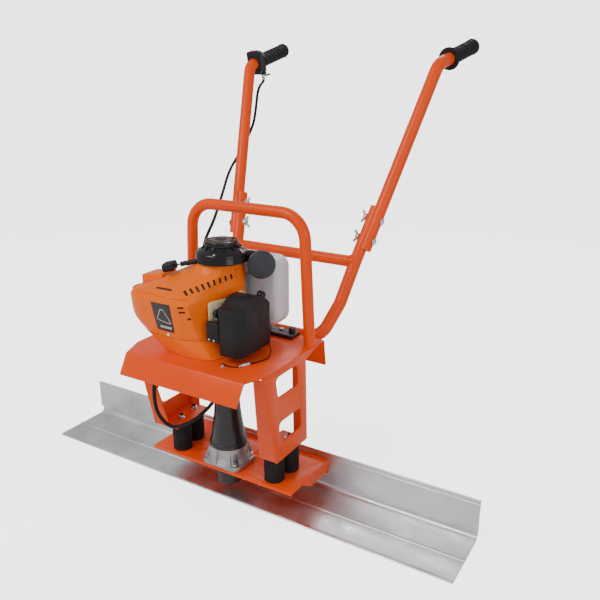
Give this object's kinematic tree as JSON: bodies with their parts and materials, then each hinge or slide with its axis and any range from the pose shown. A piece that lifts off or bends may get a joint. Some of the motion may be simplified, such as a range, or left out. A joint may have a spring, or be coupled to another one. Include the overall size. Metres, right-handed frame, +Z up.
{
  "type": "power screed",
  "caption": "Walk-behind power screed: folded aluminium blade driven by a deck-mounted engine through a vertical exciter shaft, with guard hoop and bolted handles.",
  "frame": {"origin": "middle of the blade's sole, on the ground", "axes": "+X along the blade to the operator's right, +Y back towards the operator, +Z up"},
  "size_m": [1.2, 0.9353, 1.0981],
  "materials": {
    "orange_paint": "orange powder coat",
    "orange_shell": "gloss orange plastic",
    "blade_alloy": "mill finish",
    "cast_alloy": "as cast",
    "zinc": "bright zinc plate",
    "dark_steel": "machined steel",
    "black_rubber": "matt black rubber",
    "black_plastic": "satin black plastic",
    "black_paint": "satin black paint",
    "white_tank": "natural polyethylene",
    "cream_plastic": "cream moulded insulator",
    "red_plastic": "red rocker"
  },
  "bodies": {
    "machine": {"air_cleaner_cover": "black_plastic", "base_plate": "orange_paint", "blade": "blade_alloy", "carburettor": "cast_alloy", "crankcase": "cast_alloy", "deck": "orange_paint", "drive_tube": "black_paint", "engine_cover": "orange_shell", "exciter_can": "black_paint", "fan_housing": "orange_shell", "flange_bolt_1": "zinc", "flange_bolt_2": "zinc", "fuel_tank": "white_tank", "gearbox_bolt_1": "zinc", "gearbox_bolt_2": "zinc", "gearbox_bolt_3": "zinc", "gearbox_bolt_4": "zinc", "gearbox_housing": "cast_alloy", "guard_hoop": "orange_paint", "insulator": "cream_plastic", "isolator_1": "black_rubber", "isolator_2": "black_rubber", "isolator_3": "black_rubber", "isolator_4": "black_rubber", "left_grip": "black_rubber", "left_handle": "orange_paint", "left_handle_bolt_1": "zinc", "left_handle_bolt_2": "zinc", "left_leg": "orange_paint", "rear_frame": "orange_paint", "right_grip": "black_rubber", "right_handle": "orange_paint", "right_handle_bolt_1": "zinc", "right_handle_bolt_2": "zinc", "right_leg": "orange_paint", "shaft_bearing": "dark_steel", "starter_housing": "black_plastic", "starter_rope": "black_plastic", "switch_box": "black_plastic", "tank_bracket": "black_plastic", "throttle_cable": "black_rubber", "throttle_housing": "black_plastic", "under_deck_cable": "black_rubber"},
    "throttle_lever": {"throttle_lever": "black_plastic"},
    "switch_rocker": {"switch_rocker": "red_plastic"},
    "starter_grip": {"starter_grip": "black_plastic"},
    "starter_pulley": {"starter_pulley": "black_plastic"},
    "crank": {"crankshaft": "dark_steel", "flywheel": "cast_alloy"},
    "exciter_rotor": {"clutch_drum": "dark_steel", "drive_shaft": "dark_steel", "eccentric_weight": "dark_steel"},
    "fuel_cap": {"fuel_cap": "black_plastic"},
    "choke_knob": {"choke_knob": "black_plastic"},
    "left_wing_nut_1": {"left_wing_nut_1": "zinc"},
    "left_wing_nut_2": {"left_wing_nut_2": "zinc"},
    "right_wing_nut_1": {"right_wing_nut_1": "zinc"},
    "right_wing_nut_2": {"right_wing_nut_2": "zinc"}
  },
  "joints": [
    {"name": "throttle_squeeze", "type": "hinge", "parent": "machine", "child": "throttle_lever", "pos_m": [-0.29341, 0.54414, 1.01547], "axis": [0.9966, 0.0823, 0], "range_deg": [0, 22], "stiffness_Nm_per_rad": 0.12, "springref_deg": -20.05},
    {"name": "switch_rock", "type": "hinge", "parent": "machine", "child": "switch_rocker", "pos_m": [-0.29069, 0.51122, 1.06941], "axis": [0.0802, -0.9709, -0.2257], "range_deg": [0, 14]},
    {"name": "starter_pull", "type": "slide", "parent": "machine", "child": "starter_grip", "axis": [-0.9055, -0.3628, -0.2201], "range_m": [0, 0.6], "stiffness_N_per_m": 12, "springref_m": -0.3},
    {"name": "starter_pulley_turn", "type": "hinge", "parent": "machine", "child": "starter_pulley", "pos_m": [0, -0.05, 0.6135], "axis": [0, 0, 1], "range_deg": [0, 1325]},
    {"name": "crank_turn", "type": "hinge", "parent": "machine", "child": "crank", "pos_m": [0, -0.05, 0.45], "axis": [0, 0, 1], "continuous": true},
    {"name": "exciter_turn", "type": "hinge", "parent": "machine", "child": "exciter_rotor", "pos_m": [0, -0.05, 0.2], "axis": [0, 0, 1], "continuous": true},
    {"name": "fuel_cap_turn", "type": "hinge", "parent": "machine", "child": "fuel_cap", "pos_m": [0.08182, -0.01011, 0.59753], "axis": [0.5185, -0.8296, 0.2074], "range_deg": [0, 270]},
    {"name": "choke_turn", "type": "hinge", "parent": "machine", "child": "choke_knob", "pos_m": [0.09, -0.034, 0.5218], "axis": [0, 0.65, 0.76], "range_deg": [0, 75]},
    {"name": "left_wing_nut_1_turn", "type": "hinge", "parent": "machine", "child": "left_wing_nut_1", "pos_m": [-0.17851, 0.28757, 0.61346], "axis": [0.9849, 0.0746, 0.1565], "continuous": true},
    {"name": "left_wing_nut_2_turn", "type": "hinge", "parent": "machine", "child": "left_wing_nut_2", "pos_m": [-0.18787, 0.31047, 0.66146], "axis": [0.9849, 0.0746, 0.1565], "continuous": true},
    {"name": "right_wing_nut_1_turn", "type": "hinge", "parent": "machine", "child": "right_wing_nut_1", "pos_m": [0.17851, 0.28757, 0.61346], "axis": [-0.9849, 0.0746, 0.1565], "continuous": true},
    {"name": "right_wing_nut_2_turn", "type": "hinge", "parent": "machine", "child": "right_wing_nut_2", "pos_m": [0.18787, 0.31047, 0.66146], "axis": [-0.9849, 0.0746, 0.1565], "continuous": true}
  ],
  "couplings": [
    {"joint": "exciter_turn", "follows": "crank_turn", "ratio": 1},
    {"joint": "starter_pulley_turn", "follows": "starter_pull", "rad_per_m": 37}
  ]
}
